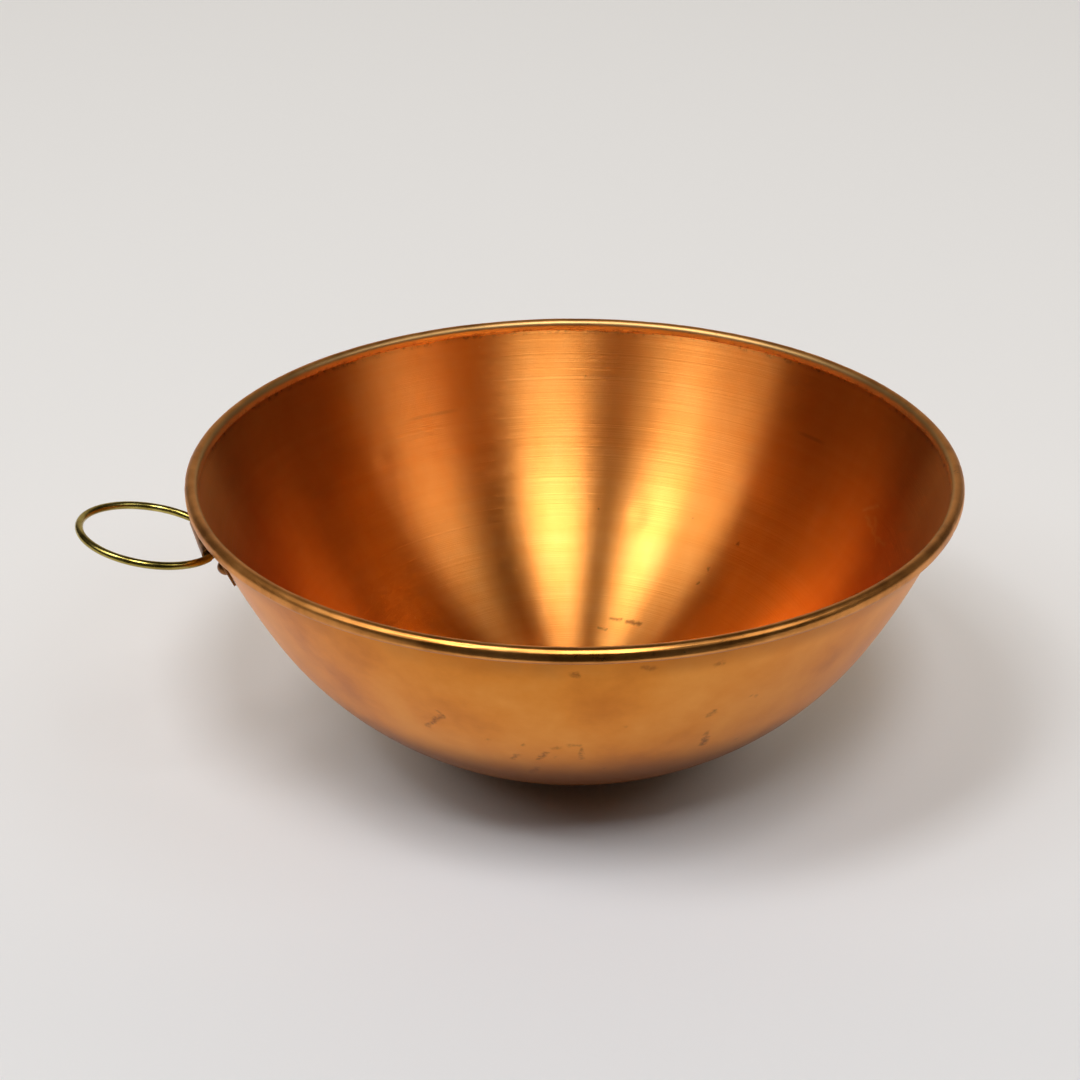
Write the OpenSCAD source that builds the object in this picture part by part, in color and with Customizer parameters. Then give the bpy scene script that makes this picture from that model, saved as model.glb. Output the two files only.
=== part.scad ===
// Spun copper beating bowl with a wired, rolled rim and a brass hanging ring.
// The bowl stands on the XY plane: the origin is the centre of its small flat
// foot and +Z is the bowl's axis. The hanging ring is on the -X side.
// Separate pieces: bowl shell, rim wire, ring, ring bracket and two rivets.

/* [Bowl] */
// Outside diameter over the rim bead
rim_d = 254; // [240:1:270]
// Thickness of the spun copper sheet
sheet = 0.8; // [0.7:0.05:1]
// Distance from the rim bead's outside to the wall's outside at bead height
wall_inset = 2.9; // [2.8:0.05:3.1]
// Lean of the wall from vertical where it leaves the rim
lean_top = 19.1; // [17:0.1:21]
// Radius of the upper wall's curve, outside
upper_r = 245; // [235:1:255]
// Lean of the wall from vertical where the upper curve meets the lower one
lean_break = 29.6; // [27:0.1:32]
// Radius of the lower wall's curve, outside
lower_r = 115.5; // [110:0.5:118]
// Lean of the wall from vertical where it turns into the foot
lean_foot = 76; // [74:0.5:80]
// Radius of the turn into the flat foot, outside
foot_r = 16; // [10:1:20]

/* [Rim bead] */
// Diameter of the steel wire that the rim is rolled around
rim_wire_d = 2.6; // [2.4:0.05:2.7]
// Clearance between that wire and the rolled sheet
rim_wire_gap = 0.03; // [0.02:0.01:0.05]
// How much taller than wide the rolled bead is
bead_extra = 0.82; // [0.4:0.02:1]
// Width of the seam where the rolled edge closes against the wall
seam_w = 0.25; // [0.15:0.05:0.4]

/* [Hanging ring] */
// Diameter of the brass wire
ring_wire_d = 2.5; // [2.2:0.1:2.8]
// Radius of the ring, to the middle of its wire
ring_r = 21.8; // [20:0.1:24]
// Distance from the ring's centre to its straight side
ring_flat = 16.9; // [16:0.1:18]
// Radius of the corners beside the straight side, to the middle of the wire
ring_corner = 3; // [2.4:0.1:3.4]
// How far the ring is raised above horizontal as drawn
ring_tilt = 13; // [0:1:30]

/* [Bracket] */
// Thickness of the bracket's copper sheet
plate_t = 0.8; // [0.6:0.05:0.9]
// Width of the bracket along the rim
plate_w = 24; // [22:0.5:24.5]
// Depth of the hinge line below the middle of the rim bead
hinge_drop = 7.8; // [7.2:0.1:8.4]
// Depth of the plate's lower edge below the middle of the rim bead
plate_drop = 21; // [20:0.5:24]
// Radius of the plate's lower corners
plate_corner = 2.5; // [1.5:0.5:3]
// Radial running clearance of the ring in its knuckle
hinge_gap = 0.06; // [0.05:0.01:0.09]

/* [Rivets] */
// Diameter of the rivet shanks
rivet_d = 3; // [2.5:0.1:3.2]
// Diameter of the rivet heads
rivet_head_d = 5; // [4.6:0.1:5.4]
// Height of the domed outside heads
rivet_head_h = 1.7; // [1.2:0.1:2]
// Height of the low inside heads
rivet_tail_h = 0.8; // [0.5:0.1:1]
// Distance of each rivet from the middle of the bracket
rivet_side = 7; // [6:0.25:7.5]
// Depth of the rivets below the middle of the rim bead
rivet_drop = 15.4; // [14.5:0.1:16.5]

/* [Hidden] */
$fn = 96;
copper = "#b8642a";
brass = "#b9983f";
steel = "#8b8d90";

// rim bead
bead_in = rim_wire_d / 2 + rim_wire_gap;   // inside radius of the rolled sheet
bead_out = bead_in + sheet;                // outside radius of the rolled sheet
bead_r = rim_d / 2 - bead_out;             // radius of the bead's middle line
// outside of the wall, as three tangent arcs: [centre r, centre z, radius]
wall_r0 = rim_d / 2 - wall_inset;
c1 = [wall_r0 - upper_r * cos(lean_top), upper_r * sin(lean_top)];
p1 = c1 + upper_r * [cos(lean_break), -sin(lean_break)];
c2 = p1 - lower_r * [cos(lean_break), -sin(lean_break)];
p2 = c2 + lower_r * [cos(lean_foot), -sin(lean_foot)];
c3 = p2 - foot_r * [cos(lean_foot), -sin(lean_foot)];
foot_flat_r = c3[0];                       // radius of the flat foot
bead_z = foot_r - c3[1];                   // height of the bead's middle over the foot
// lean of the upper wall at a given depth below the bead's middle
function lean_at(h) = asin((c1[1] + h) / upper_r);
function wall_at(h) = c1[0] + upper_r * cos(lean_at(h));
// the wall's strip starts a little above the bead's middle, inside the bead
wall_lean_0 = asin((c1[1] - 0.3) / upper_r);
// points along an arc between two leans; where two arcs meet, the later
// one repeats the point, so it is dropped
function arc_points(c, r, a, b, n) =
    [for (i = [0 : n - 1]) let (t = a + (b - a) * i / n) c + r * [cos(t), -sin(t)]];
// hinge line of the ring: the knuckle lies against the front of the plate
fit_gap = 0.05;
knuckle_in = ring_wire_d / 2 + hinge_gap;
knuckle_out = knuckle_in + plate_t;
hinge_r = wall_at(hinge_drop) + (fit_gap + plate_t + knuckle_in) / cos(lean_at(hinge_drop));
hinge_z = bead_z - hinge_drop;
// lean of the plate where the knuckle's roll leaves it
lean_roll = atan2(c1[1] + hinge_drop, hinge_r - c1[0]);
// ring corners
corner_t = sqrt(pow(ring_r - ring_corner, 2) - pow(ring_flat - ring_corner, 2));
corner_a = atan2(corner_t, ring_flat - ring_corner);
// rivets
rivet_lean = lean_at(rivet_drop);
rivet_az = asin(rivet_side / wall_at(rivet_drop));

// one curved strip of sheet: outside radius r, thickness t, between two leans
module arc_strip(c, r, t, a, b) {
    translate(c) intersection() {
        difference() {
            circle(r = r, $fn = 720);
            circle(r = r - t, $fn = 720);
        }
        polygon([[0, 0], 2 * r * [cos(a), -sin(a)], 2 * r * [cos((a + b) / 2), -sin((a + b) / 2)], 2 * r * [cos(b), -sin(b)]]);
    }
}

// a band round the rim whose section is a circle of radius r stretched
// upright into a round-ended slot, with the bead's middle at z = 0
module bead_band(r) {
    n = 24;
    e = bead_extra / 2;
    rotate_extrude($fn = 180) polygon(concat(
        [for (i = [0 : n]) let (t = 180 * i / n) [bead_r + r * cos(t), e + r * sin(t)]],
        [for (i = [0 : n]) let (t = 180 + 180 * i / n) [bead_r + r * cos(t), -e + r * sin(t)]]
    ));
}

// section of the wall and foot: one strip of sheet along the three arcs
module wall_section() {
    polygon(concat(
        arc_points(c1, upper_r, wall_lean_0, lean_break, 14),
        arc_points(c2, lower_r, lean_break, lean_foot, 36),
        arc_points(c3, foot_r, lean_foot, 90, 8),
        [[foot_flat_r, -bead_z], [0, -bead_z], [0, sheet - bead_z]],
        arc_points(c3, foot_r - sheet, 90, lean_foot, 8),
        arc_points(c2, lower_r - sheet, lean_foot, lean_break, 36),
        arc_points(c1, upper_r - sheet, lean_break, wall_lean_0, 14)
    ));
}

// puts its children on the wall at a depth h and a turn a from the ring side,
// with +Z along the wall's outward normal
module on_wall(h, a) {
    rotate([0, 0, 180 + a]) translate([wall_at(h), 0, bead_z - h])
        rotate([0, 90 + lean_at(h), 0]) children();
}

module rivet_hole(a) {
    on_wall(rivet_drop, a) cylinder(d = rivet_d + 0.06, h = 12, center = true, $fn = 48);
}

// the wall, with its top edge rolled outward round the rim wire into a bead;
// a fine seam shows where the rolled edge closes against the wall
module bowl_shell() {
    color(copper) difference() {
        translate([0, 0, bead_z]) difference() {
            union() {
                rotate_extrude($fn = 180) wall_section();
                bead_band(bead_out);
            }
            bead_band(bead_in);
            rotate_extrude($fn = 180) translate([bead_r, -bead_extra / 2]) rotate(-128)
                translate([bead_in - 0.4, -seam_w / 2]) square([sheet + 1, seam_w]);
        }
        rivet_hole(rivet_az);
        rivet_hole(-rivet_az);
    }
}

// the wire inside the rolled rim, lying in the top of the bead
module rim_wire() {
    color(steel) translate([0, 0, bead_z + bead_extra / 2])
        rotate_extrude($fn = 180) translate([bead_r, 0]) circle(d = rim_wire_d, $fn = 32);
}

// an arc of the ring's wire about Z, from angle 0 to a
module wire_arc(r, a) {
    rotate_extrude(angle = a, $fn = 180) translate([r, 0]) circle(d = ring_wire_d, $fn = 32);
}

// D-shaped ring: straight side along Y on the hinge line, ring towards -X.
// Small balls, a hair larger than the wire, join its lengths of wire.
module hanging_ring() {
    j = 0.1;                                   // shortening at each joint, inside the ball
    color(brass) translate([-hinge_r, 0, hinge_z]) rotate([0, ring_tilt, 0]) {
        rotate([90, 0, 0]) cylinder(d = ring_wire_d, h = 2 * (corner_t - j), center = true, $fn = 32);
        translate([-ring_flat, 0, 0]) rotate([0, 0, corner_a + j / ring_r * 57.3])
            wire_arc(ring_r, 360 - 2 * corner_a - 2 * j / ring_r * 57.3);
        for (s = [-1, 1]) {
            translate([-ring_corner, s * corner_t, 0])
                rotate([0, 0, (s > 0 ? 0 : -corner_a) + j / ring_corner * 57.3])
                    wire_arc(ring_corner, corner_a - 2 * j / ring_corner * 57.3);
            translate([0, s * corner_t, 0]) joint_ball();
            translate([-ring_flat + ring_r * cos(corner_a), s * ring_r * sin(corner_a), 0]) joint_ball();
        }
    }
}

module joint_ball() {
    rotate([90, 0, 0]) sphere(r = ring_wire_d / 2 + 0.03, $fn = 64);
}

// outline of the bracket's plate, seen along X
module plate_outline(top, bottom) {
    w = plate_w / 2;
    translate([-w, bottom + plate_corner]) square([plate_w, top - bottom - plate_corner]);
    translate([-w + plate_corner, bottom]) square([plate_w - 2 * plate_corner, plate_corner + 1]);
    for (s = [-1, 1]) translate([s * (w - plate_corner), bottom + plate_corner]) circle(r = plate_corner);
}

// copper plate that follows the wall and rolls round the ring's straight side
module hinge_bracket() {
    color(copper) difference() {
        union() {
            intersection() {
                translate([0, 0, bead_z]) rotate([0, 0, 170]) rotate_extrude(angle = 20, $fn = 180)
                    arc_strip(c1, upper_r + fit_gap + plate_t, plate_t, lean_roll - 0.07, lean_break);
                translate([-wall_r0 - 5, 0, 0]) rotate([90, 0, 90])
                    linear_extrude(height = 40) plate_outline(hinge_z + 3, bead_z - plate_drop);
            }
            translate([-hinge_r, 0, hinge_z]) rotate([90, 0, 0])
                cylinder(r = knuckle_out, h = plate_w, center = true);
        }
        translate([-hinge_r, 0, hinge_z]) rotate([90, 0, 0])
            cylinder(r = knuckle_in, h = plate_w + 2, center = true);
        // the sheet rolls over the top of the ring's side and its end stops just
        // short of the plate, underneath
        translate([-hinge_r, 0, hinge_z]) rotate([0, 20, 0])
            translate([knuckle_in - 0.3, -plate_w / 2 - 1, -0.15]) cube([plate_t + 0.6, plate_w + 2, 0.3]);
        rivet_hole(rivet_az);
        rivet_hole(-rivet_az);
    }
}

// solid copper rivet: domed head outside the plate, low head inside the bowl
module rivet(a) {
    out_z = fit_gap + plate_t + 0.04;          // seat of the outside head
    in_z = -sheet - 0.04;                      // seat of the inside head
    dome_r = (pow(rivet_head_d / 2, 2) + pow(rivet_head_h, 2)) / (2 * rivet_head_h);
    tail_r = (pow(rivet_head_d / 2, 2) + pow(rivet_tail_h, 2)) / (2 * rivet_tail_h);
    color(copper) on_wall(rivet_drop, a) {
        translate([0, 0, in_z - 0.2]) cylinder(d = rivet_d, h = out_z - in_z + 0.4, $fn = 48);
        translate([0, 0, out_z]) rotate_extrude($fn = 48) intersection() {
            translate([0, rivet_head_h - dome_r]) circle(r = dome_r);
            square([rivet_head_d / 2 + 1, rivet_head_h + 1]);
        }
        translate([0, 0, in_z]) mirror([0, 0, 1]) rotate_extrude($fn = 48) intersection() {
            translate([0, rivet_tail_h - tail_r]) circle(r = tail_r);
            square([rivet_head_d / 2 + 1, rivet_tail_h + 1]);
        }
    }
}

module rivet_left() { rivet(rivet_az); }
module rivet_right() { rivet(-rivet_az); }

bowl_shell();
rim_wire();
hanging_ring();
hinge_bracket();
rivet_left();
rivet_right();
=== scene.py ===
"""Spun copper beating bowl with a rolled rim and a hinged brass hanging ring.

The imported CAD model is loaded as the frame. The bowl's skin, the ring, the
bracket and the rivets are finer meshes of the same shapes, which ride on the
CAD bodies and stand for their CAD nodes. All lengths are in metres, +Z is up,
the origin is the centre of the foot and the ring is on the -X side.
"""

import bpy
import math
from math import sin, cos, pi, radians, sqrt, atan2, asin, hypot
from mathutils import Vector, Matrix, noise


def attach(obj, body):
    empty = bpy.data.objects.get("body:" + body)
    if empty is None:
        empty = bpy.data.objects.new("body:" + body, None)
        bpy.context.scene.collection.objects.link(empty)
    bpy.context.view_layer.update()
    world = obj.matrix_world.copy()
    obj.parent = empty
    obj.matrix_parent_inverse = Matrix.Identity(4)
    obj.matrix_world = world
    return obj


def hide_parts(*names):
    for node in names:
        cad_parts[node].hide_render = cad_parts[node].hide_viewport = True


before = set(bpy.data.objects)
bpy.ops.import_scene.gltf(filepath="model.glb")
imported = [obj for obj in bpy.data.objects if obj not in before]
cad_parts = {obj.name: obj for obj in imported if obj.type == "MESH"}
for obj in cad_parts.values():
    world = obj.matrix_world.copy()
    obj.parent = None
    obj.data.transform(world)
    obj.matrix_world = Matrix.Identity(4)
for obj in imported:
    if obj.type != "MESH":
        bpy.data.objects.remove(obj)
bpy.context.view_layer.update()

MM = 0.001

# ---------------------------------------------------------------- dimensions
# the bowl, in millimetres, as the CAD model has them
RIM_D, SHEET, INSET = 254.0, 0.8, 2.9
LEAN0, R1, LEAN1, R2, LEAN2, R3 = radians(19.1), 245.0, radians(29.6), 115.5, radians(76.0), 16.0
WIRE_D, WIRE_GAP, EXTRA, SEAM = 2.6, 0.03, 0.82, 0.25
BEAD_IN = WIRE_D / 2 + WIRE_GAP
BEAD_OUT = BEAD_IN + SHEET
BEAD_R = RIM_D / 2 - BEAD_OUT
W0 = RIM_D / 2 - INSET
C1 = (W0 - R1 * cos(LEAN0), R1 * sin(LEAN0))
P1 = (C1[0] + R1 * cos(LEAN1), C1[1] - R1 * sin(LEAN1))
C2 = (P1[0] - R2 * cos(LEAN1), P1[1] + R2 * sin(LEAN1))
P2 = (C2[0] + R2 * cos(LEAN2), C2[1] - R2 * sin(LEAN2))
C3 = (P2[0] - R3 * cos(LEAN2), P2[1] + R3 * sin(LEAN2))
BEAD_Z = R3 - C3[1]                     # bead's middle above the foot's plane
# the ring and its bracket
RING_WIRE, RING_R, RING_FLAT, RING_CORNER, RING_TILT = 2.5, 21.8, 16.9, 3.0, radians(13.0)
PLATE_T, PLATE_W, HINGE_DROP, PLATE_DROP, PLATE_CORNER = 0.8, 24.0, 7.8, 21.0, 2.5
FIT, HINGE_GAP = 0.05, 0.06
RIVET_D, HEAD_D, HEAD_H, TAIL_H, RIVET_SIDE, RIVET_DROP = 3.0, 5.0, 1.7, 0.8, 7.0, 15.4


def lean_at(h):
    """Lean of the outside of the upper wall from vertical, h below the bead's middle."""
    return asin((C1[1] + h) / R1)


def wall_at(h):
    return C1[0] + R1 * cos(lean_at(h))


HINGE_R = wall_at(HINGE_DROP) + (FIT + PLATE_T + RING_WIRE / 2 + HINGE_GAP) / cos(lean_at(HINGE_DROP))
HINGE_Z = BEAD_Z - HINGE_DROP

scene = bpy.context.scene


def link(obj):
    scene.collection.objects.link(obj)
    return obj


def mesh_object(name, verts, faces, sharp=None):
    me = bpy.data.meshes.new(name)
    me.from_pydata(verts, [], faces)
    me.validate()
    me.update()
    me.polygons.foreach_set("use_smooth", [True] * len(me.polygons))
    if sharp is not None:
        me.set_sharp_from_angle(angle=radians(sharp))
    return link(bpy.data.objects.new(name, me))


# ------------------------------------------------------------------- camera
# The view's own frame has x to the right and y away from the viewer; the
# object's frame is turned from it about Z so that the ring is on its -X side.
TURN = radians(-17.13)


def turned(x, y, z):
    return Vector((x * cos(TURN) - y * sin(TURN), x * sin(TURN) + y * cos(TURN), z))


pitch, roll = 0.474049, 0.005009
cam_tx, cam_ty, cam_d, unit = 0.0884, 0.1939, 5.7109, 0.127
forward = turned(0, cos(pitch), -sin(pitch))
right = turned(1, 0, 0)
up = turned(0, sin(pitch), cos(pitch))
centre = Vector((0, 0, BEAD_Z * MM))
cam_pos = centre - right * (cam_tx * unit) - up * (cam_ty * unit) - forward * (cam_d * unit)
right_r = right * cos(roll) - up * sin(roll)
up_r = right * sin(roll) + up * cos(roll)
cam_data = bpy.data.cameras.new("camera")
cam_data.sensor_width = 36.0
cam_data.lens = 36.0 * 2200.0 / 1080.0
cam_data.clip_start, cam_data.clip_end = 0.01, 50
camera = link(bpy.data.objects.new("camera", cam_data))
rot = Matrix((right_r, up_r, -forward)).transposed()
camera.matrix_world = Matrix.Translation(cam_pos) @ rot.to_4x4()
scene.camera = camera

# ------------------------------------------------------------ bowl's section


def arc(c, r, a, b, n, last=False):
    """n points along an arc between two leans, without its last point unless asked."""
    m = n if last else n
    pts = [(c[0] + r * cos(a + (b - a) * i / m), c[1] - r * sin(a + (b - a) * i / m)) for i in range(n)]
    if last:
        pts.append((c[0] + r * cos(b), c[1] - r * sin(b)))
    return pts


def polar(c, r, a, b, n):
    """n + 1 points on a circle between two angles, in degrees, counted from +r towards +z."""
    return [(c[0] + r * cos(radians(a + (b - a) * i / n)), c[1] + r * sin(radians(a + (b - a) * i / n))) for i in range(n + 1)]


LO = (BEAD_R, -EXTRA / 2)
UP = (BEAD_R, EXTRA / 2)


def meet(r_wall, z_hi, z_lo):
    """Where the wall's arc of radius r_wall leaves the bead's outside circle: its lean and its angle on the circle."""
    a, b = asin((C1[1] - z_hi) / r_wall), asin((C1[1] - z_lo) / r_wall)

    def gap(t):
        return hypot(C1[0] + r_wall * cos(t) - LO[0], C1[1] - r_wall * sin(t) - LO[1]) - BEAD_OUT

    for _ in range(60):
        m = (a + b) / 2
        if gap(m) < 0:
            a = m
        else:
            b = m
    t = (a + b) / 2
    return t, math.degrees(atan2(C1[1] - r_wall * sin(t) - LO[1], C1[0] + r_wall * cos(t) - LO[0]))


t_out, ang_out = meet(R1, -0.6, -4.0)
t_in, ang_in = meet(R1 - SHEET, -0.45, -4.0)
SEAM_A = -128.0


def seam_angle(r, side):
    return SEAM_A + side * math.degrees(asin(SEAM / 2 / r))


def graded(c, r, a, b, n, bias):
    """Arc points whose spacing shrinks towards the end b."""
    out = []
    for i in range(n):
        f = 1 - (1 - i / n) ** bias
        t = a + (b - a) * f
        out.append((c[0] + r * cos(t), c[1] - r * sin(t)))
    return out


OUTSIDE, BEAD, INSIDE = 0, 1, 2
section = []                            # (r, z, zone) round the sheet's outline, from the foot's underside


def add(points, zone):
    for (r, z) in points:
        if not section or hypot(r - section[-1][0], z - section[-1][1]) > 1e-4:
            section.append((r, z, zone))


add([(r, -BEAD_Z) for r in (5.0, 12.0, 20.0, 26.0)], OUTSIDE)
add(arc(C3, R3, radians(90), LEAN2, 7), OUTSIDE)
add(arc(C2, R2, LEAN2, LEAN1, 34), OUTSIDE)
add(graded(C1, R1, LEAN1, t_out, 20, 1.3), OUTSIDE)
add(polar(LO, BEAD_OUT, ang_out, seam_angle(BEAD_OUT, -1), 1), BEAD)
add(polar(LO, BEAD_IN, seam_angle(BEAD_IN, -1), -180, 3), BEAD)
add(polar(UP, BEAD_IN, 180, 0, 10), BEAD)
add(polar(LO, BEAD_IN, 0, seam_angle(BEAD_IN, 1), 7), BEAD)
add(polar(LO, BEAD_OUT, seam_angle(BEAD_OUT, 1), 0, 14), BEAD)
for q in range(41):
    t = 180.0 * q / 40
    flat = BEAD_OUT * (1 - 0.030 * math.exp(-((t - 46) / 16.0) ** 2))   # the roller leaves the outer shoulder a little flat
    add([(UP[0] + flat * cos(radians(t)), UP[1] + flat * sin(radians(t)))], BEAD)
add(polar(LO, BEAD_OUT, 180, 360 + ang_in, 3)[:-1], BEAD)
add(list(reversed(graded(C1, R1 - SHEET, LEAN1, t_in, 20, 1.3) + [(C1[0] + (R1 - SHEET) * cos(t_in), C1[1] - (R1 - SHEET) * sin(t_in))])), INSIDE)
add(list(reversed(arc(C2, R2 - SHEET, LEAN2, LEAN1, 34, True))), INSIDE)
add(list(reversed(arc(C3, R3 - SHEET, radians(90), LEAN2, 7))), INSIDE)
add([(r, SHEET - BEAD_Z) for r in (26.0, 20.0, 12.0, 5.0)], INSIDE)


def wobble(th, z):
    """The slight unevenness of hand-finished spun sheet, in millimetres outward."""
    p = Vector((cos(th) * 2.2, sin(th) * 2.2, z * 0.012))
    return 0.10 * noise.noise(p) + 0.035 * noise.noise(p * 3.1 + Vector((7, 1, 3)))


def seen_at(azimuth):
    """Turn about Z of a spot on the bowl, from its bearing as the viewer has it: 0 is nearest the viewer, positive to the right."""
    d = turned(sin(radians(azimuth)), -cos(radians(azimuth)), 0)
    return atan2(d.y, d.x)


# shallow dings in the wall: bearing, height over the foot, radius and depth, in degrees and mm (depth is inward)
DINGS = [(seen_at(a), h, r, d) for a, h, r, d in (
    (-22.3, 61.0, 3.2, 0.13), (-24.6, 56.0, 2.6, 0.09), (-6.2, 47.0, 3.2, 0.12), (-11.0, 45.6, 2.6, 0.08),
    (22.1, 48.0, 3.2, 0.13), (20.9, 63.4, 2.6, 0.08), (-1.0, 88.0, 2.6, 0.07), (9.0, 89.0, 2.6, 0.07),
    (29.8, 43.2, 2.6, 0.08), (118.0, 52.0, 5.0, 0.20), (163.0, 35.0, 4.5, 0.18), (-140.0, 60.0, 4.0, 0.16))]


def ding(th, r, hz):
    d = 0.0
    for (t, h, rad, deep) in DINGS:
        a = (th - t + pi) % (2 * pi) - pi
        e = ((a * r) ** 2 + (1.3 * (hz - h)) ** 2) / (rad * rad)
        if e < 6:
            d -= deep * math.exp(-e * 1.6)
    return d


def rim_nick(th):
    """Small dents along the top of the bead, in millimetres inward."""
    p = Vector((cos(th) * 26, sin(th) * 26, 4.0))
    v = noise.noise(p)
    return 0.05 * noise.noise(p * 0.35) + 0.03 * noise.noise(p * 1.3) - (0.10 * max(0.0, v - 0.32) / 0.3)


def build_bowl():
    n = 384
    verts, faces, zones = [], [], []
    m = len(section)
    for j in range(n):
        th = 2 * pi * j / n
        ct, st = cos(th), sin(th)
        nick = rim_nick(th)
        for (r, z, zone) in section:
            hz = z + BEAD_Z                       # height over the foot
            k = min(1.0, max(0.0, (hz - 4) / 30)) * min(1.0, max(0.0, (-z - 4) / 14))
            d = wobble(th, hz) * k
            if k > 0:
                d += ding(th, r, hz)
            dz = 0.0
            if zone == BEAD:
                # only the outer skin of the bead carries the small dents
                off = hypot(r - BEAD_R, z - max(-EXTRA / 2, min(EXTRA / 2, z)))
                if off > BEAD_OUT - 0.05 and z > -1.9:
                    d += nick * (r - BEAD_R) / BEAD_OUT
                    dz += nick * max(0.0, z) / BEAD_OUT
            rr = r + d
            verts.append((rr * ct * MM, rr * st * MM, (z + dz + BEAD_Z) * MM))
    bottom = len(verts)
    verts.append((0, 0, 0))
    top = len(verts)
    verts.append((0, 0, SHEET * MM))
    for j in range(n):
        a, b = j * m, ((j + 1) % n) * m
        for i in range(m - 1):
            faces.append((a + i, b + i, b + i + 1, a + i + 1))
            za, zb = section[i][2], section[i + 1][2]
            zones.append(BEAD if BEAD in (za, zb) and za != OUTSIDE else za)
        faces.append((bottom, b, a))
        zones.append(OUTSIDE)
        faces.append((top, a + m - 1, b + m - 1))
        zones.append(INSIDE)
    ob = mesh_object("copper_bowl", verts, faces, sharp=32)
    return ob, zones


bowl, zones = build_bowl()
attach(bowl, "bowl")
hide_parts("bowl_shell")

# ------------------------------------------------------------------ the ring


def sweep(path, radius, name, sides, plane_normal):
    """A round tube along a closed flat path."""
    verts, faces = [], []
    n = len(path)
    for i, p in enumerate(path):
        t = (path[(i + 1) % n] - path[i - 1]).normalized()
        side = t.cross(plane_normal).normalized()
        for k in range(sides):
            a = 2 * pi * k / sides
            verts.append(tuple(p + side * (radius * cos(a)) + plane_normal * (radius * sin(a))))
    for i in range(n):
        a, b = i * sides, ((i + 1) % n) * sides
        for k in range(sides):
            l = (k + 1) % sides
            faces.append((a + k, b + k, b + l, a + l))
    return mesh_object(name, verts, faces)


def ring_path():
    """The middle of the ring's wire: straight side on the hinge line, two corners and the round part."""
    ct = sqrt((RING_R - RING_CORNER) ** 2 - (RING_FLAT - RING_CORNER) ** 2)
    ca = atan2(ct, RING_FLAT - RING_CORNER)
    pts = [(0.0, -ct + 2 * ct * i / 24) for i in range(24)]
    pts += [(RING_CORNER - RING_CORNER * cos(ca * i / 14), ct + RING_CORNER * sin(ca * i / 14)) for i in range(14)]
    big = 2 * pi - 2 * ca
    pts += [(RING_FLAT - RING_R * cos(ca + big * i / 210), RING_R * sin(ca + big * i / 210)) for i in range(210)]
    pts += [(RING_CORNER - RING_CORNER * cos(ca * (1 - i / 14)), -ct - RING_CORNER * sin(ca * (1 - i / 14))) for i in range(14)]
    return [Vector((-(HINGE_R + u * cos(RING_TILT)) * MM, v * MM, (HINGE_Z + u * sin(RING_TILT)) * MM)) for (u, v) in pts]


ring = sweep(ring_path(), RING_WIRE / 2 * MM, "brass_ring", 32, Vector((sin(RING_TILT), 0, cos(RING_TILT))))
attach(ring, "ring")
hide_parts("hanging_ring")

# --------------------------------------------------------------- the bracket
KN_IN = RING_WIRE / 2 + HINGE_GAP
KN_MID = KN_IN + PLATE_T / 2
LEAN_ROLL = atan2(C1[1] + HINGE_DROP, HINGE_R - C1[0])


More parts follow.
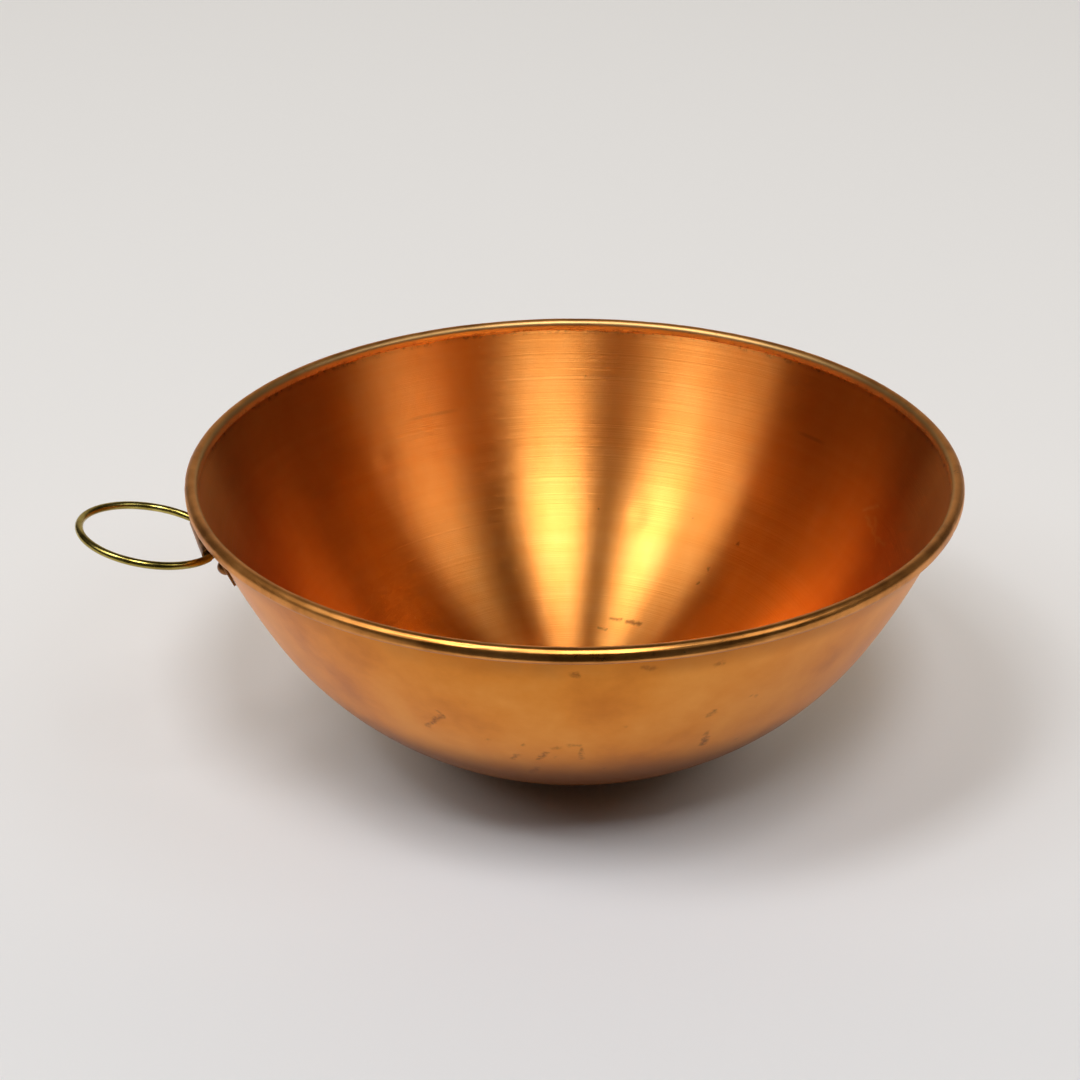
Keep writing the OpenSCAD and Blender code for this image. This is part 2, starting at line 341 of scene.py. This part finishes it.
def build_bracket():
    """One strip of sheet: a plate that follows the wall, rolled over the ring's straight side at its top."""
    mid_r = R1 + FIT + PLATE_T / 2
    t_low = asin((C1[1] + PLATE_DROP) / mid_r)
    path = []                                       # (radius from the axis, z from the bead's middle, follows the wall 0 to 1, depth above the lower edge)
    n = 30
    length = mid_r * (t_low - LEAN_ROLL)
    for i in range(n + 1):
        f = i / n
        s = length * f
        t = t_low - s / mid_r
        path.append((C1[0] + mid_r * cos(t), C1[1] - mid_r * sin(t), min(1.0, max(0.0, (length - s) / 4.0)), s))
    # round the hinge line, from the plate over the top and down to just short of the plate again
    a0 = 180 - math.degrees(LEAN_ROLL)              # bearing of the plate from the hinge line, seen with the axis to the right
    hx, hz = HINGE_R, -HINGE_DROP
    wrap = 318.0
    m = 48
    for i in range(1, m + 1):
        a = radians(a0 - wrap * i / m)
        path.append((hx + KN_MID * cos(a), hz + KN_MID * sin(a), 0.0, length + i))
    w = 26
    half = PLATE_T / 2
    rows_f, rows_b = [], []

    def normal(i):
        q0, q1 = path[max(0, i - 1)], path[min(len(path) - 1, i + 1)]
        tx, tz = q1[0] - q0[0], q1[1] - q0[1]
        l = hypot(tx, tz)
        return tz / l, -tx / l                       # across the sheet

    verts, faces = [], []

    def put(i, v, side):
        r, z, follow, s = path[i]
        nx, nz = normal(i)
        rr, zz = r + nx * half * side, z + nz * half * side
        sag = rr - sqrt(rr * rr - v * v)
        verts.append((-(rr - sag * (follow * follow * (3 - 2 * follow))) * MM, v * MM, (zz + BEAD_Z) * MM))
        return len(verts) - 1

    def half_width(s):
        if s >= PLATE_CORNER:
            return PLATE_W / 2
        return PLATE_W / 2 - PLATE_CORNER + sqrt(max(0.0, PLATE_CORNER ** 2 - (PLATE_CORNER - s) ** 2))

    for side, rows in ((1, rows_f), (-1, rows_b)):
        for i in range(len(path)):
            hw = half_width(path[i][3])
            rows.append([put(i, hw * (2 * k / w - 1), side) for k in range(w + 1)])
    for i in range(len(path) - 1):
        for k in range(w):
            faces.append((rows_f[i][k], rows_f[i + 1][k], rows_f[i + 1][k + 1], rows_f[i][k + 1]))
            faces.append((rows_b[i][k], rows_b[i][k + 1], rows_b[i + 1][k + 1], rows_b[i + 1][k]))
        faces.append((rows_f[i][0], rows_b[i][0], rows_b[i + 1][0], rows_f[i + 1][0]))
        faces.append((rows_f[i][w], rows_f[i + 1][w], rows_b[i + 1][w], rows_b[i][w]))
    last = len(path) - 1
    for k in range(w):
        faces.append((rows_f[0][k], rows_f[0][k + 1], rows_b[0][k + 1], rows_b[0][k]))
        faces.append((rows_f[last][k], rows_b[last][k], rows_b[last][k + 1], rows_f[last][k + 1]))
    ob = mesh_object("ring_bracket", verts, faces)
    import bmesh
    bm = bmesh.new()
    bm.from_mesh(ob.data)
    bmesh.ops.recalc_face_normals(bm, faces=bm.faces)
    bm.to_mesh(ob.data)
    bm.free()
    bev = ob.modifiers.new("edges", "BEVEL")
    bev.width = 0.14 * MM
    bev.segments = 3
    bev.limit_method = "ANGLE"
    bev.angle_limit = radians(50)
    ob.data.polygons.foreach_set("use_smooth", [True] * len(ob.data.polygons))
    return ob


bracket = build_bracket()
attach(bracket, "bowl")
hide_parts("hinge_bracket")

# ---------------------------------------------------------------- the rivets


def build_rivet(name, side, seed):
    """A set rivet: hand-domed head outside, shank, and a lower upset head inside the bowl."""
    az = asin(RIVET_SIDE / wall_at(RIVET_DROP)) * side
    out_z = FIT + PLATE_T + 0.04
    in_z = -SHEET - 0.04

    def dome(h, seat, sign, n=12):
        """Profile from the rim of a head to its crown, with a small edge radius."""
        R = ((HEAD_D / 2) ** 2 + h * h) / (2 * h)
        a_max = asin(HEAD_D / 2 / R) if h <= HEAD_D / 2 else pi - asin(HEAD_D / 2 / R)
        pts = []
        for i in range(n + 1):
            a = a_max * (1 - i / n)
            pts.append((R * sin(a), seat + sign * (h - R + R * cos(a))))
        return pts

    tail = dome(TAIL_H, in_z, -1)
    head = dome(HEAD_H, out_z, 1)
    prof = list(reversed(tail))                    # crown inside the bowl, out to its rim
    prof += [(HEAD_D / 2 - 0.12, in_z + 0.0)] + [(RIVET_D / 2, in_z), (RIVET_D / 2, out_z), (HEAD_D / 2 - 0.12, out_z)]
    prof += head
    n = 48
    verts, faces = [], []
    ring_ids = []
    for (r, z) in prof:
        if r < 1e-4:
            verts.append((0, 0, z))
            ring_ids.append([len(verts) - 1] * n)
            continue
        row = []
        for k in range(n):
            a = 2 * pi * k / n
            q = Vector((cos(a) * r * 0.55, sin(a) * r * 0.55, z * 0.5 + seed))
            dz = 0.0
            if z > out_z + 0.05 or z < in_z - 0.05:
                dz = 0.10 * noise.noise(q * 1.4) * (1 if z > 0 else -1)
            rr = r * (1 + 0.02 * noise.noise(Vector((cos(a), sin(a), seed))))
            verts.append((rr * cos(a), rr * sin(a), z + dz))
            row.append(len(verts) - 1)
        ring_ids.append(row)
    for i in range(len(ring_ids) - 1):
        a, b = ring_ids[i], ring_ids[i + 1]
        for k in range(n):
            l = (k + 1) % n
            f = []
            for v in (a[k], a[l], b[l], b[k]):
                if v not in f:
                    f.append(v)
            if len(f) > 2:
                faces.append(tuple(f))
    lean = lean_at(RIVET_DROP)
    place = (Matrix.Rotation(pi + az, 4, "Z") @ Matrix.Translation((wall_at(RIVET_DROP), 0, BEAD_Z - RIVET_DROP))
             @ Matrix.Rotation(pi / 2 + lean, 4, "Y"))
    scale = Matrix.Diagonal((MM, MM, MM, 1))
    verts = [tuple(scale @ (place @ Vector(v))) for v in verts]
    return mesh_object(name, verts, faces, sharp=40)


rivet_l = build_rivet("rivet_left_head", 1, 3.0)
rivet_r = build_rivet("rivet_right_head", -1, 11.0)
for ob, node in ((rivet_l, "rivet_left"), (rivet_r, "rivet_right")):
    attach(ob, "bowl")
    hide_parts(node)

# --------------------------------------------------------------- materials


def material(name):
    m = bpy.data.materials.new(name)
    m.use_nodes = True
    nt = m.node_tree
    nt.nodes.clear()
    out = nt.nodes.new("ShaderNodeOutputMaterial")
    bs = nt.nodes.new("ShaderNodeBsdfPrincipled")
    nt.links.new(bs.outputs[0], out.inputs[0])
    return m, nt, bs


class Nodes:
    """Small helpers for wiring shader nodes."""

    def __init__(self, nt):
        self.nt = nt

    def new(self, kind, **props):
        n = self.nt.nodes.new(kind)
        for k, v in props.items():
            setattr(n, k, v)
        return n

    def put(self, socket, value):
        if isinstance(value, bpy.types.NodeSocket):
            self.nt.links.new(value, socket)
        else:
            socket.default_value = value

    def math(self, op, a, b=0.0, c=0.0, clamp=False):
        n = self.new("ShaderNodeMath", operation=op, use_clamp=clamp)
        self.put(n.inputs[0], a)
        self.put(n.inputs[1], b)
        if len(n.inputs) > 2:
            self.put(n.inputs[2], c)
        return n.outputs[0]

    def combine(self, x, y, z):
        n = self.new("ShaderNodeCombineXYZ")
        for s, v in zip(n.inputs, (x, y, z)):
            self.put(s, v)
        return n.outputs[0]

    def noise(self, vec, scale, detail=2.0, rough=0.5, out="Fac"):
        n = self.new("ShaderNodeTexNoise")
        self.put(n.inputs["Vector"], vec)
        n.inputs["Scale"].default_value = scale
        n.inputs["Detail"].default_value = detail
        n.inputs["Roughness"].default_value = rough
        return n.outputs[out]

    def ramp(self, fac, stops, interp="LINEAR"):
        n = self.new("ShaderNodeValToRGB")
        n.color_ramp.interpolation = interp
        els = n.color_ramp.elements
        while len(els) < len(stops):
            els.new(0.5)
        for e, (p, c) in zip(els, stops):
            e.position = p
            e.color = c if len(c) == 4 else (*c, 1)
        self.put(n.inputs[0], fac)
        return n.outputs[0]

    def mix(self, fac, a, b, mode="MIX"):
        n = self.new("ShaderNodeMix", data_type="RGBA", blend_type=mode)
        self.put(n.inputs[0], fac)
        self.put(n.inputs[6], a if isinstance(a, bpy.types.NodeSocket) else (*a, 1))
        self.put(n.inputs[7], b if isinstance(b, bpy.types.NodeSocket) else (*b, 1))
        return n.outputs[2]


def spun_coords(N):
    """Object coordinates as (co, x, y, z, radius, distance along the section, cos and sin of the bearing)."""
    co = N.new("ShaderNodeTexCoord").outputs["Object"]
    sep = N.new("ShaderNodeSeparateXYZ")
    N.put(sep.inputs[0], co)
    x, y, z = sep.outputs
    rad = N.math("SQRT", N.math("ADD", N.math("MULTIPLY", x, x), N.math("MULTIPLY", y, y)))
    along = N.math("ADD", rad, z)
    ct = N.math("DIVIDE", x, N.math("ADD", rad, 1e-5))
    st = N.math("DIVIDE", y, N.math("ADD", rad, 1e-5))
    return co, x, y, z, rad, along, ct, st


def spot(N, co, centre, radius, soft=0.5):
    """1 inside a ball of that radius, in metres, falling to 0 at its edge."""
    d = N.new("ShaderNodeVectorMath", operation="DISTANCE")
    N.put(d.inputs[0], co)
    d.inputs[1].default_value = centre
    m = N.new("ShaderNodeMapRange", interpolation_type="SMOOTHSTEP")
    N.put(m.inputs["Value"], d.outputs["Value"])
    m.inputs["From Min"].default_value = radius
    m.inputs["From Max"].default_value = radius * soft
    m.inputs["To Min"].default_value = 0.0
    m.inputs["To Max"].default_value = 1.0
    return m.outputs[0]


def stroke(N, co, start, end, radius, soft=0.25):
    """1 near a short straight line between two places, falling to 0 at that radius."""
    p0, p1 = Vector(start), Vector(end)
    d = p1 - p0
    v = N.new("ShaderNodeVectorMath", operation="SUBTRACT")
    N.put(v.inputs[0], co)
    v.inputs[1].default_value = p0
    t = N.new("ShaderNodeVectorMath", operation="DOT_PRODUCT")
    N.put(t.inputs[0], v.outputs["Vector"])
    t.inputs[1].default_value = d / d.length_squared
    near = N.new("ShaderNodeVectorMath", operation="MULTIPLY_ADD")
    N.put(near.inputs[0], N.math("ADD", t.outputs["Value"], 0.0, clamp=True))
    near.inputs[1].default_value = d
    near.inputs[2].default_value = p0
    e = N.new("ShaderNodeVectorMath", operation="DISTANCE")
    N.put(e.inputs[0], co)
    N.put(e.inputs[1], near.outputs["Vector"])
    m = N.new("ShaderNodeMapRange", interpolation_type="SMOOTHSTEP")
    N.put(m.inputs["Value"], e.outputs["Value"])
    m.inputs["From Min"].default_value = radius
    m.inputs["From Max"].default_value = radius * soft
    m.inputs["To Min"].default_value = 0.0
    m.inputs["To Max"].default_value = 1.0
    return m.outputs[0]


def band(N, value, lo, hi):
    """0 below lo, 1 above hi, smooth between."""
    m = N.new("ShaderNodeMapRange", interpolation_type="SMOOTHSTEP")
    N.put(m.inputs["Value"], value)
    m.inputs["From Min"].default_value = lo
    m.inputs["From Max"].default_value = hi
    return m.outputs[0]


def wall_point(bearing, h, skin=0.0):
    """Place on the wall at a bearing the viewer has and a height over the foot, in metres; skin is the depth in from the outside."""
    z = h - BEAD_Z
    c, r = (C1, R1) if z > P1[1] else (C2, R2) if z > P2[1] else (C3, R3)
    rad = c[0] + sqrt(max(0.0, (r - skin) ** 2 - (c[1] - z) ** 2))
    t = seen_at(bearing)
    return (rad * cos(t) * MM, rad * sin(t) * MM, h * MM)


def ragged(N, co):
    """The same place moved a little one way or the other, so that a mark drawn with it has an uneven edge."""
    n = N.new("ShaderNodeVectorMath", operation="MULTIPLY_ADD")
    N.put(n.inputs[0], N.noise(co, 420.0, 2.0, 0.5, "Color"))
    n.inputs[1].default_value = (0.0028, 0.0028, 0.0028)
    n.inputs[2].default_value = (-0.0014, -0.0014, -0.0014)
    v = N.new("ShaderNodeVectorMath", operation="ADD")
    N.put(v.inputs[0], co)
    N.put(v.inputs[1], n.outputs["Vector"])
    return v.outputs["Vector"]


def marks(N, co, places, skin):
    """The strongest of a set of small soft marks, in degrees and mm: spots (bearing, height, radius, strength) and
    strokes (bearing, height, bearing, height, radius, strength)."""
    total = None
    for m in places:
        if len(m) == 4:
            v = spot(N, co, wall_point(m[0], m[1], skin), m[2] * MM, 0.0)
        else:
            v = stroke(N, co, wall_point(m[0], m[1], skin), wall_point(m[2], m[3], skin), 1.5 * m[4] * MM, 0.0)
        v = N.math("MULTIPLY", v, m[-1])
        total = v if total is None else N.math("MAXIMUM", total, v)
    return total


DARK_INSIDE = [(177, 79, 0.9, 0.7), (173, 36, 0.8, 0.8), (150, 37, 0.8, 0.5), (136, 34, 1.1, 0.9),
               (140, 25, 0.9, 0.7), (141, 21, 1, 0.8), (164.5, 9, 160.5, 9, 0.8, 0.8),
               (157.5, 9, 152.5, 9, 1, 1), (168.5, 7, 165, 7, 0.7, 0.7)]
PALE_INSIDE = [(109, 62, 105.5, 66, 0.8, 0.9), (107.5, 61, 101.5, 59, 0.8, 0.8), (101.5, 59, 96, 60, 0.7, 0.8),
               (104.5, 63, 99, 57, 0.7, 0.7), (-164, 20, 0.8, 0.8), (-125, 17, 0.9, 0.8), (-164, 91, 0.7, 0.8)]
DARK_OUTSIDE = [(-22, 65, -21.5, 63, 0.8, 0.7), (-21.5, 63, -23, 60, 1.1, 0.95), (-23, 60, -25.5, 55, 0.9, 0.9),
                (-15, 54, 1.3, 0.45), (-10.5, 47, -11.5, 44, 0.95, 0.75), (-9, 53, 1.2, 0.6),
                (-5.5, 49, -7, 45, 1.05, 0.95), (-7.5, 39, -9, 34, 1.1, 0.85), (-3.5, 53, -4, 52, 1.2, 0.5),
                (-4, 47, 0.9, 0.5), (-1.5, 54, 0, 54, 1.1, 0.5), (0.5, 52, 0.5, 46, 0.9, 0.7), (5, 39, 1, 0.5),
                (21.5, 54, 22, 50, 0.9, 0.7), (22, 50, 22.5, 46, 1.25, 1), (21, 64, 20.5, 63, 1.3, 0.85),
                (30, 43, 1.2, 0.6), (27, 68, 1.2, 0.5), (28, 67, 1, 0.4), (-1, 88, -0.5, 88, 1.2, 0.75),
                (8.5, 90, 9.5, 89, 1.3, 0.65), (19, 87, 19.5, 87, 1.3, 0.6), (7, 63, 0.9, 0.35)]


def copper_inside():
    """Bright spun copper: the tool's fine rings spread reflections up and down the wall and hardly sideways."""
    m, nt, bs = material("copper_inside")
    N = Nodes(nt)
    co, x, y, z, rad, along, ct, st = spun_coords(N)
    fine = N.noise(N.combine(N.math("MULTIPLY", along, 1500.0), N.math("MULTIPLY", ct, 0.6), N.math("MULTIPLY", st, 0.6)), 1.0, 3.0, 0.6)
    broad = N.noise(N.combine(N.math("MULTIPLY", along, 170.0), N.math("MULTIPLY", ct, 0.7), N.math("MULTIPLY", st, 0.7)), 1.0, 2.0, 0.5)
    cloud = N.noise(co, 22.0, 4.0, 0.6)
    grime = N.noise(co, 420.0, 3.0, 0.6)
    bs.inputs["Metallic"].default_value = 1.0
    chatter = N.noise(N.combine(N.math("MULTIPLY", along, 45.0), N.math("MULTIPLY", ct, 13.0), N.math("MULTIPLY", st, 13.0)), 1.0, 2.0, 0.5)
    colour = N.ramp(N.math("ADD", N.math("MULTIPLY", cloud, 0.35), N.math("ADD", N.math("MULTIPLY", broad, 0.30), N.math("MULTIPLY", chatter, 0.35))),
                    [(0.30, (0.86, 0.305, 0.052)), (0.52, (0.89, 0.345, 0.070)), (0.75, (0.92, 0.386, 0.094))])
    # polish left in the crease under the bead, two faint rub lines, small nicks and a few bright scratches
    crease = N.math("MULTIPLY", band(N, z, 0.0930, 0.0952), N.math("MULTIPLY_ADD", band(N, grime, 0.50, 0.68), 0.50, 0.16))
    rub_a = N.math("MULTIPLY", spot(N, co, wall_point(-152.7, 70.4, SHEET), 0.0125, 0.4), N.math("SUBTRACT", 1.0, band(N, N.math("ABSOLUTE", N.math("SUBTRACT", z, 0.0704)), 0.0002, 0.0010)))
    rub_b = N.math("MULTIPLY", spot(N, co, wall_point(129.5, 72.8, SHEET), 0.0085, 0.3), N.math("SUBTRACT", 1.0, band(N, N.math("ABSOLUTE", N.math("SUBTRACT", z, 0.0728)), 0.0002, 0.0009)))
    dark = N.math("MAXIMUM", N.math("MULTIPLY", marks(N, ragged(N, co), DARK_INSIDE, SHEET), 0.85), N.math("MULTIPLY", N.math("MAXIMUM", rub_a, rub_b), 0.22))
    dark = N.math("MAXIMUM", dark, crease)
    colour = N.mix(dark, colour, (0.22, 0.075, 0.02))
    pale = marks(N, ragged(N, co), PALE_INSIDE, SHEET)
    colour = N.mix(N.math("MULTIPLY", pale, 0.7), colour, (0.98, 0.50, 0.14))
    N.put(bs.inputs["Base Color"], colour)
    rough = N.math("MULTIPLY_ADD", N.math("ADD", fine, cloud), 0.05, 0.270)
    N.put(bs.inputs["Roughness"], N.math("ADD", rough, N.math("MULTIPLY", pale, 0.10)))
    bs.inputs["Anisotropic"].default_value = 1.0
    bs.inputs["Anisotropic Rotation"].default_value = 0.25
    N.put(bs.inputs["Tangent"], N.new("ShaderNodeTangent", direction_type="RADIAL", axis="Z").outputs[0])
    b = N.new("ShaderNodeBump")
    b.inputs["Strength"].default_value = 1.0
    b.inputs["Distance"].default_value = 0.000085
    N.put(b.inputs["Height"], N.math("ADD", fine, broad))
    N.put(bs.inputs["Normal"], b.outputs[0])
    return m


def copper_outside():
    """Duller copper with soft stains, a brown stain under the bead with a thin painted shade line just below the bead,
    painted shade towards the bottom standing for the shadowed floor it reflects, and small dark dings.
    """
    m, nt, bs = material("copper_outside")
    N = Nodes(nt)
    co, x, y, z, rad, along, ct, st = spun_coords(N)
    fine = N.noise(N.combine(N.math("MULTIPLY", along, 1500.0), N.math("MULTIPLY", ct, 1.2), N.math("MULTIPLY", st, 1.2)), 1.0, 3.0, 0.6)
    cloud = N.noise(co, 30.0, 5.0, 0.62)
    stain = N.noise(co, 14.0, 4.0, 0.66)
    bs.inputs["Metallic"].default_value = 1.0
    colour = N.ramp(N.math("ADD", N.math("MULTIPLY", cloud, 0.5), N.math("MULTIPLY", stain, 0.5)),
                    [(0.36, (0.62, 0.19, 0.015)), (0.48, (0.78, 0.272, 0.030)), (0.60, (0.86, 0.34, 0.055))])
    under = N.math("MULTIPLY", band(N, z, 0.0835, 0.0915), N.math("MULTIPLY_ADD", band(N, stain, 0.40, 0.60), 0.40, 0.12))
    # the second band is painted shade: a thin dark line just under the bead, where the bead overhangs the wall
    under = N.math("MAXIMUM", under, N.math("MULTIPLY", band(N, z, 0.0922, 0.0938), 0.75))
    # painted shade: the wall darkens towards the bottom, a painted reflection of the shadowed floor under the bowl
    foot = N.math("MULTIPLY", N.math("SUBTRACT", 1.0, band(N, z, 0.029, 0.050)), 0.9)
    colour = N.mix(under, colour, (0.33, 0.10, 0.016))
    colour = N.mix(foot, colour, (0.24, 0.070, 0.010))
    patchy = N.math("MULTIPLY_ADD", band(N, N.noise(co, 900.0, 2.0, 0.5), 0.38, 0.58), 0.55, 0.45)
    dark = N.math("MULTIPLY", marks(N, ragged(N, co), DARK_OUTSIDE, 0.0), patchy)
    colour = N.mix(N.math("MULTIPLY", dark, 0.78), colour, (0.22, 0.058, 0.006))
    N.put(bs.inputs["Base Color"], colour)
    N.put(bs.inputs["Roughness"], N.math("MULTIPLY_ADD", cloud, 0.14, 0.28))
    bs.inputs["Anisotropic"].default_value = 0.6
    bs.inputs["Anisotropic Rotation"].default_value = 0.25
    N.put(bs.inputs["Tangent"], N.new("ShaderNodeTangent", direction_type="RADIAL", axis="Z").outputs[0])
    b = N.new("ShaderNodeBump")
    b.inputs["Strength"].default_value = 0.5
    b.inputs["Distance"].default_value = 0.00004
    N.put(b.inputs["Height"], fine)
    N.put(bs.inputs["Normal"], b.outputs[0])
    return m


def copper_bead():
    """The rolled rim: browner, softly polished copper with wear and little pits along its crease; its underside is
    darkened with painted shade and its inner side tinted paler as a painted highlight.
    """
    m, nt, bs = material("copper_bead")
    N = Nodes(nt)
    co, x, y, z, rad, along, ct, st = spun_coords(N)
    cloud = N.noise(co, 60.0, 5.0, 0.62)
    pits = N.noise(co, 520.0, 3.0, 0.6)
    bs.inputs["Metallic"].default_value = 1.0
    colour = N.ramp(cloud, [(0.32, (0.46, 0.17, 0.034)), (0.5, (0.70, 0.285, 0.065)), (0.68, (0.82, 0.36, 0.095))])
    # painted shade: the bead's underside darkened where it meets the outside wall
    colour = N.mix(N.math("MULTIPLY", N.math("SUBTRACT", 1.0, band(N, z, 0.0940, 0.0952)), 0.85), colour, (0.42, 0.13, 0.02))
    inner = N.math("SUBTRACT", 1.0, band(N, rad, (BEAD_R - 1.9) * MM, (BEAD_R - 0.6) * MM))
    # painted highlight: the bead's inner side tinted paler and more golden in place of its broad highlight
    colour = N.mix(N.math("MULTIPLY", inner, 0.8), colour, (0.64, 0.42, 0.17))
    low = N.math("MULTIPLY", inner, N.math("SUBTRACT", 1.0, band(N, z, 0.0952, 0.0968)))
    dirt = N.math("MAXIMUM", N.math("MULTIPLY", band(N, pits, 0.66, 0.74), 0.5), N.math("MULTIPLY", low, N.math("MULTIPLY", band(N, pits, 0.50, 0.64), 0.55)))
    colour = N.mix(dirt, colour, (0.22, 0.085, 0.024))
    N.put(bs.inputs["Base Color"], colour)
    # most worn and bright along the side nearest the viewer
    f = turned(0.12, -0.993, 0)
    facing = N.math("ADD", N.math("MULTIPLY", ct, f.x), N.math("MULTIPLY", st, f.y))
    worn = band(N, facing, 0.72, 0.96)
    N.put(bs.inputs["Roughness"], N.math("ADD", N.math("MULTIPLY_ADD", cloud, 0.16, 0.34), N.math("MULTIPLY", worn, -0.12)))
    return m


def copper_fittings():
    m, nt, bs = material("copper_fittings")
    N = Nodes(nt)
    co = N.new("ShaderNodeTexCoord").outputs["Object"]
    cloud = N.noise(co, 220.0, 5.0, 0.6)
    bs.inputs["Metallic"].default_value = 1.0
    N.put(bs.inputs["Base Color"], N.ramp(cloud, [(0.3, (0.13, 0.05, 0.015)), (0.5, (0.30, 0.12, 0.035)), (0.7, (0.55, 0.25, 0.09))]))
    N.put(bs.inputs["Roughness"], N.math("MULTIPLY_ADD", cloud, 0.25, 0.22))
    return m


def brass():
    m, nt, bs = material("ring_brass")
    N = Nodes(nt)
    co = N.new("ShaderNodeTexCoord").outputs["Object"]
    cloud = N.noise(co, 160.0, 4.0, 0.6)
    bs.inputs["Metallic"].default_value = 1.0
    N.put(bs.inputs["Base Color"], N.ramp(cloud, [(0.3, (0.22, 0.165, 0.03)), (0.5, (0.40, 0.31, 0.07)), (0.7, (0.58, 0.47, 0.14))]))
    N.put(bs.inputs["Roughness"], N.math("MULTIPLY_ADD", cloud, 0.16, 0.15))
    return m


def steel():
    m, nt, bs = material("rim_steel")
    N = Nodes(nt)
    co = N.new("ShaderNodeTexCoord").outputs["Object"]
    bs.inputs["Metallic"].default_value = 1.0
    N.put(bs.inputs["Base Color"], N.ramp(N.noise(co, 300.0, 3.0), [(0.3, (0.42, 0.42, 0.43)), (0.7, (0.60, 0.61, 0.62))]))
    bs.inputs["Roughness"].default_value = 0.35
    return m


for maker in (copper_outside, copper_bead, copper_inside):
    bowl.data.materials.append(maker())
bowl.data.polygons.foreach_set("material_index", zones)
fittings = copper_fittings()
for ob in (bracket, rivet_l, rivet_r):
    ob.data.materials.append(fittings)
ring.data.materials.append(brass())
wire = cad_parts["rim_wire"]
wire.data.materials.clear()
wire.data.materials.append(steel())

# ------------------------------------------------------------ floor, lights


def floor():
    m, nt, bs = material("floor")
    bs.inputs["Base Color"].default_value = (0.815, 0.815, 0.82, 1)
    bs.inputs["Roughness"].default_value = 0.6
    s = 6.0
    o = mesh_object("floor", [(-s, -s, 0), (s, -s, 0), (s, s, 0), (-s, s, 0)], [(0, 1, 2, 3)])
    o.data.materials.append(m)


floor()
flag = mesh_object("front_flag", [tuple(turned(x, y, 0.002)) for x, y in ((-3, -3), (3, -3), (3, -0.20), (-3, -0.20))], [(0, 1, 2, 3)])
fm, fnt, fbs = material("front_flag")
fbs.inputs["Base Color"].default_value = (0.01, 0.01, 0.01, 1)
fbs.inputs["Roughness"].default_value = 1.0
flag.data.materials.append(fm)
flag.visible_camera = flag.visible_diffuse = flag.visible_shadow = False

world = bpy.data.worlds.new("studio")
scene.world = world
world.use_nodes = True
wt = world.node_tree
wt.nodes.clear()
W = Nodes(wt)
way = W.new("ShaderNodeTexCoord").outputs["Generated"]
away = W.new("ShaderNodeVectorMath", operation="DOT_PRODUCT")
W.put(away.inputs[0], way)
away.inputs[1].default_value = turned(0, 1, 0)
room = W.new("ShaderNodeBackground")
room.inputs[0].default_value = (1.0, 0.87, 0.66, 1)
# a white sweep behind the bowl lights it low from the back; the rest of the room is dim
low = W.new("ShaderNodeSeparateXYZ")
W.put(low.inputs[0], way)
sweep_part = W.math("MULTIPLY", band(W, away.outputs["Value"], 0.1, 0.4), W.math("SUBTRACT", 1.0, band(W, low.outputs[2], 0.45, 0.75)))
path_node = W.new("ShaderNodeLightPath")
shiny = path_node.outputs["Is Glossy Ray"]
behind = W.math("MULTIPLY", band(W, away.outputs["Value"], 0.76, 0.90), 0.45)
soft = W.math("MULTIPLY", sweep_part, W.math("SUBTRACT", 1.0, shiny))
W.put(room.inputs[1], W.math("ADD", W.math("MULTIPLY_ADD", soft, 1.45, 0.025), W.math("MULTIPLY", behind, shiny)))
seen = W.new("ShaderNodeBackground")
seen.inputs[0].default_value = (0.72, 0.72, 0.73, 1)
both = W.new("ShaderNodeMixShader")
W.put(both.inputs[0], path_node.outputs["Is Camera Ray"])
wt.links.new(room.outputs[0], both.inputs[1])
wt.links.new(seen.outputs[0], both.inputs[2])
wout = W.new("ShaderNodeOutputWorld")
wt.links.new(both.outputs[0], wout.inputs[0])


def softbox(name, bearing, elevation, spread, rise, power, distance=8.0):
    """An area light aimed at the bowl. In degrees: its bearing from the viewer's side, positive to the right, its
    elevation, how much bearing it spans and how much elevation."""
    a, e = radians(bearing), radians(elevation)
    p = turned(distance * cos(e) * sin(a), -distance * cos(e) * cos(a), distance * sin(e))
    L = bpy.data.lights.new(name, "AREA")
    L.shape = "RECTANGLE"
    L.size, L.size_y = distance * cos(e) * radians(spread), distance * radians(rise)
    L.energy = power
    L.color = (0.99, 1.0, 1.03)
    o = link(bpy.data.objects.new(name, L))
    aim = (-p).normalized()
    level = turned(cos(a), sin(a), 0)
    upward = (-aim).cross(level).normalized()
    m = Matrix((level, upward, -aim)).transposed().to_4x4()
    o.matrix_world = Matrix.Translation(p) @ m
    return o


softbox("key", 11, 63, 37, 20, 245)
softbox("second", -53.5, 63, 27, 20, 168)
softbox("left_side", -64, 48, 40, 24, 112)
softbox("right_side", 69, 46, 30, 20, 55)

scene.view_settings.view_transform = "Standard"
scene.view_settings.look = "None"
